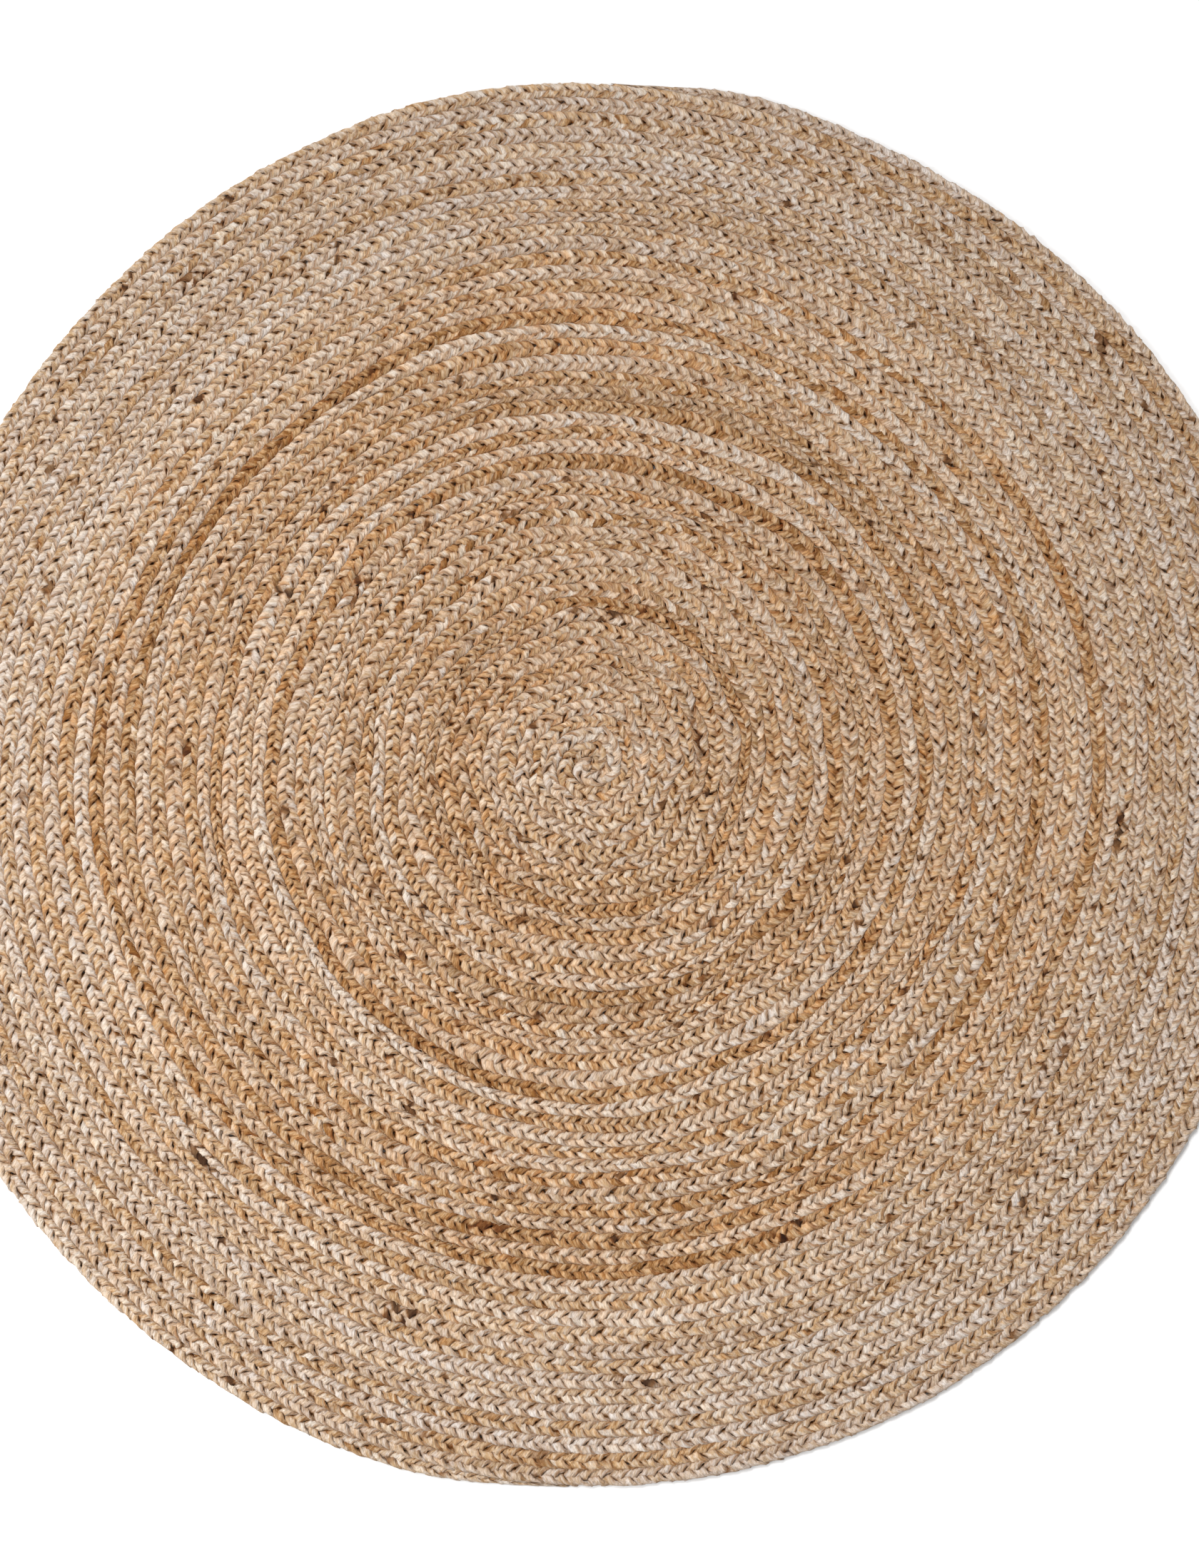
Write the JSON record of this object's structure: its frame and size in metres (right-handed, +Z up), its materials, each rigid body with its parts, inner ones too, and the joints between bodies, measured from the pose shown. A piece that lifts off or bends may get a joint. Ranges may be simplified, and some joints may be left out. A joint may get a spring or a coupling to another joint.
{
  "type": "round braided area rug",
  "caption": "Round flat area rug of natural jute: a pale and a golden three-strand braid wound side by side in a spiral and sewn edge to edge.",
  "frame": {"origin": "middle of the footprint, on the floor that the rug lies on", "axes": "+Z up out of the rug's upper face; +X along the line on which the two braids end at the rim, towards the pale braid's end; +Y across it in the rug's plane"},
  "size_m": [1.8476, 1.8286, 0.01],
  "materials": {
    "pale_braid": "matt natural jute, pale grey-beige strands",
    "golden_braid": "matt natural jute, golden brown strands",
    "sewing_thread": "matt jute-coloured sewing thread"
  },
  "bodies": {
    "root": {"pale_braid_turn_01": "pale_braid", "pale_braid_turn_02": "pale_braid", "pale_braid_turn_03": "pale_braid", "pale_braid_turn_04": "pale_braid", "pale_braid_turn_05": "pale_braid", "pale_braid_turn_06": "pale_braid", "pale_braid_turn_07": "pale_braid", "pale_braid_turn_08": "pale_braid", "pale_braid_turn_09": "pale_braid", "pale_braid_turn_10": "pale_braid", "pale_braid_turn_11": "pale_braid", "pale_braid_turn_12": "pale_braid", "pale_braid_turn_13": "pale_braid", "pale_braid_turn_14": "pale_braid", "pale_braid_turn_15": "pale_braid", "pale_braid_turn_16": "pale_braid", "pale_braid_turn_17": "pale_braid", "pale_braid_turn_18": "pale_braid", "pale_braid_turn_19": "pale_braid", "pale_braid_turn_20": "pale_braid", "pale_braid_turn_21": "pale_braid", "pale_braid_turn_22": "pale_braid", "pale_braid_turn_23": "pale_braid", "pale_braid_turn_24": "pale_braid", "pale_braid_tail": "pale_braid", "golden_braid_turn_01": "golden_braid", "golden_braid_turn_02": "golden_braid", "golden_braid_turn_03": "golden_braid", "golden_braid_turn_04": "golden_braid", "golden_braid_turn_05": "golden_braid", "golden_braid_turn_06": "golden_braid", "golden_braid_turn_07": "golden_braid", "golden_braid_turn_08": "golden_braid", "golden_braid_turn_09": "golden_braid", "golden_braid_turn_10": "golden_braid", "golden_braid_turn_11": "golden_braid", "golden_braid_turn_12": "golden_braid", "golden_braid_turn_13": "golden_braid", "golden_braid_turn_14": "golden_braid", "golden_braid_turn_15": "golden_braid", "golden_braid_turn_16": "golden_braid", "golden_braid_turn_17": "golden_braid", "golden_braid_turn_18": "golden_braid", "golden_braid_turn_19": "golden_braid", "golden_braid_turn_20": "golden_braid", "golden_braid_turn_21": "golden_braid", "golden_braid_turn_22": "golden_braid", "golden_braid_turn_23": "golden_braid", "golden_braid_turn_24": "golden_braid", "golden_braid_tail": "golden_braid", "needle_thread_inner_seam": "sewing_thread", "bobbin_thread_inner_seam": "sewing_thread", "needle_thread_outer_seam": "sewing_thread", "bobbin_thread_outer_seam": "sewing_thread"}
  },
  "joints": []
}
